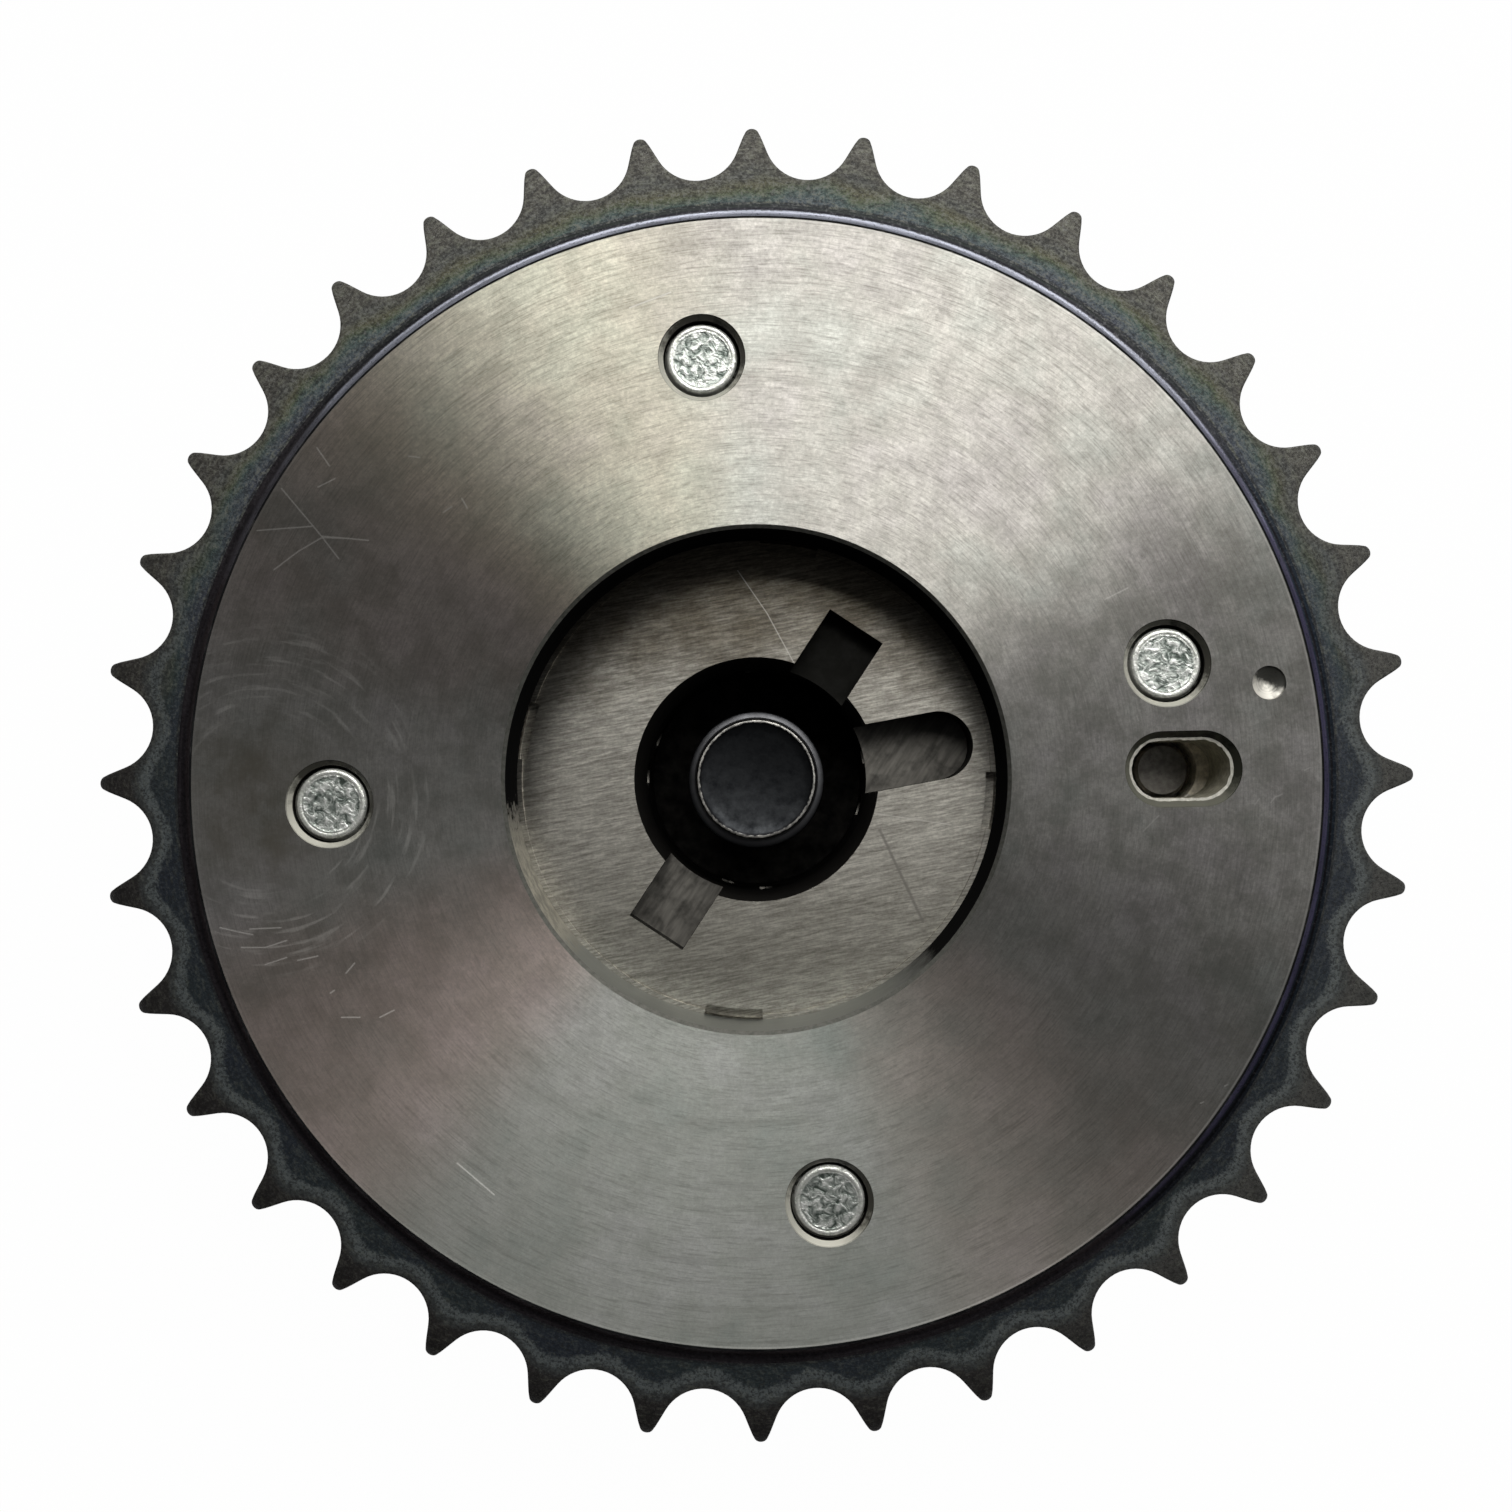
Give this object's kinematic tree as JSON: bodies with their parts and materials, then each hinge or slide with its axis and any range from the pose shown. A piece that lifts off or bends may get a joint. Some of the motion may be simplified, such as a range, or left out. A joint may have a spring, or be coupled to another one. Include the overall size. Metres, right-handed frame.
{
  "type": "cam phaser",
  "caption": "Chain-driven vane cam phaser with a toothed sprocket rim, ground rear disc, housing and a rotor with a locking pin that turns inside it.",
  "frame": {"origin": "on the phaser's own axis, in the plane of the outer ends of the housing bolt heads, on which the part lies", "axes": "+Z along the axis from the front cover to the rear, camshaft side; +X in the rear view's right, near the slot over the lock pin; +Y up in that view"},
  "size_m": [0.0944, 0.0944, 0.0294],
  "materials": {
    "sprocket_steel": "turned and ground steel, hardened dark teeth with temper colours",
    "rotor_steel": "straight ground steel",
    "housing_steel": "plain machined sintered steel",
    "cover_steel": "plain ground steel",
    "bolt_zinc": "bright zinc, pitted ends",
    "black_oxide": "black oxide with a worn bright rim",
    "pin_steel": "hardened ground steel",
    "spring_steel": "drawn spring steel",
    "seal_polymer": "dark brown high-temperature polymer"
  },
  "bodies": {
    "housing_assembly": {"sprocket": "sprocket_steel", "housing": "housing_steel", "front_cover": "cover_steel", "housing_bolt_1": "bolt_zinc", "housing_bolt_2": "bolt_zinc", "housing_bolt_3": "bolt_zinc", "housing_bolt_4": "bolt_zinc", "lobe_seal_1": "seal_polymer", "lobe_seal_2": "seal_polymer", "lobe_seal_3": "seal_polymer", "lobe_seal_4": "seal_polymer", "lobe_seal_spring_1": "spring_steel", "lobe_seal_spring_2": "spring_steel", "lobe_seal_spring_3": "spring_steel", "lobe_seal_spring_4": "spring_steel"},
    "rotor_assembly": {"rotor": "rotor_steel", "centre_bolt": "black_oxide", "lock_pin_spring": "spring_steel", "vane_seal_1": "seal_polymer", "vane_seal_2": "seal_polymer", "vane_seal_3": "seal_polymer", "vane_seal_4": "seal_polymer", "vane_seal_spring_1": "spring_steel", "vane_seal_spring_2": "spring_steel", "vane_seal_spring_3": "spring_steel", "vane_seal_spring_4": "spring_steel"},
    "lock_pin": {"lock_pin": "pin_steel"}
  },
  "joints": [
    {"name": "rotor_turn", "type": "hinge", "parent": "housing_assembly", "child": "rotor_assembly", "pos_m": [0, 0, 0.016], "axis": [0, 0, 1], "range_deg": [-25, 0]},
    {"name": "lock_pin_slide", "type": "slide", "parent": "rotor_assembly", "child": "lock_pin", "axis": [0, 0, 1], "range_m": [-0.0018, 0], "stiffness_N_per_m": 200, "springref_m": 0.003, "deforming": ["lock_pin_spring"]}
  ]
}
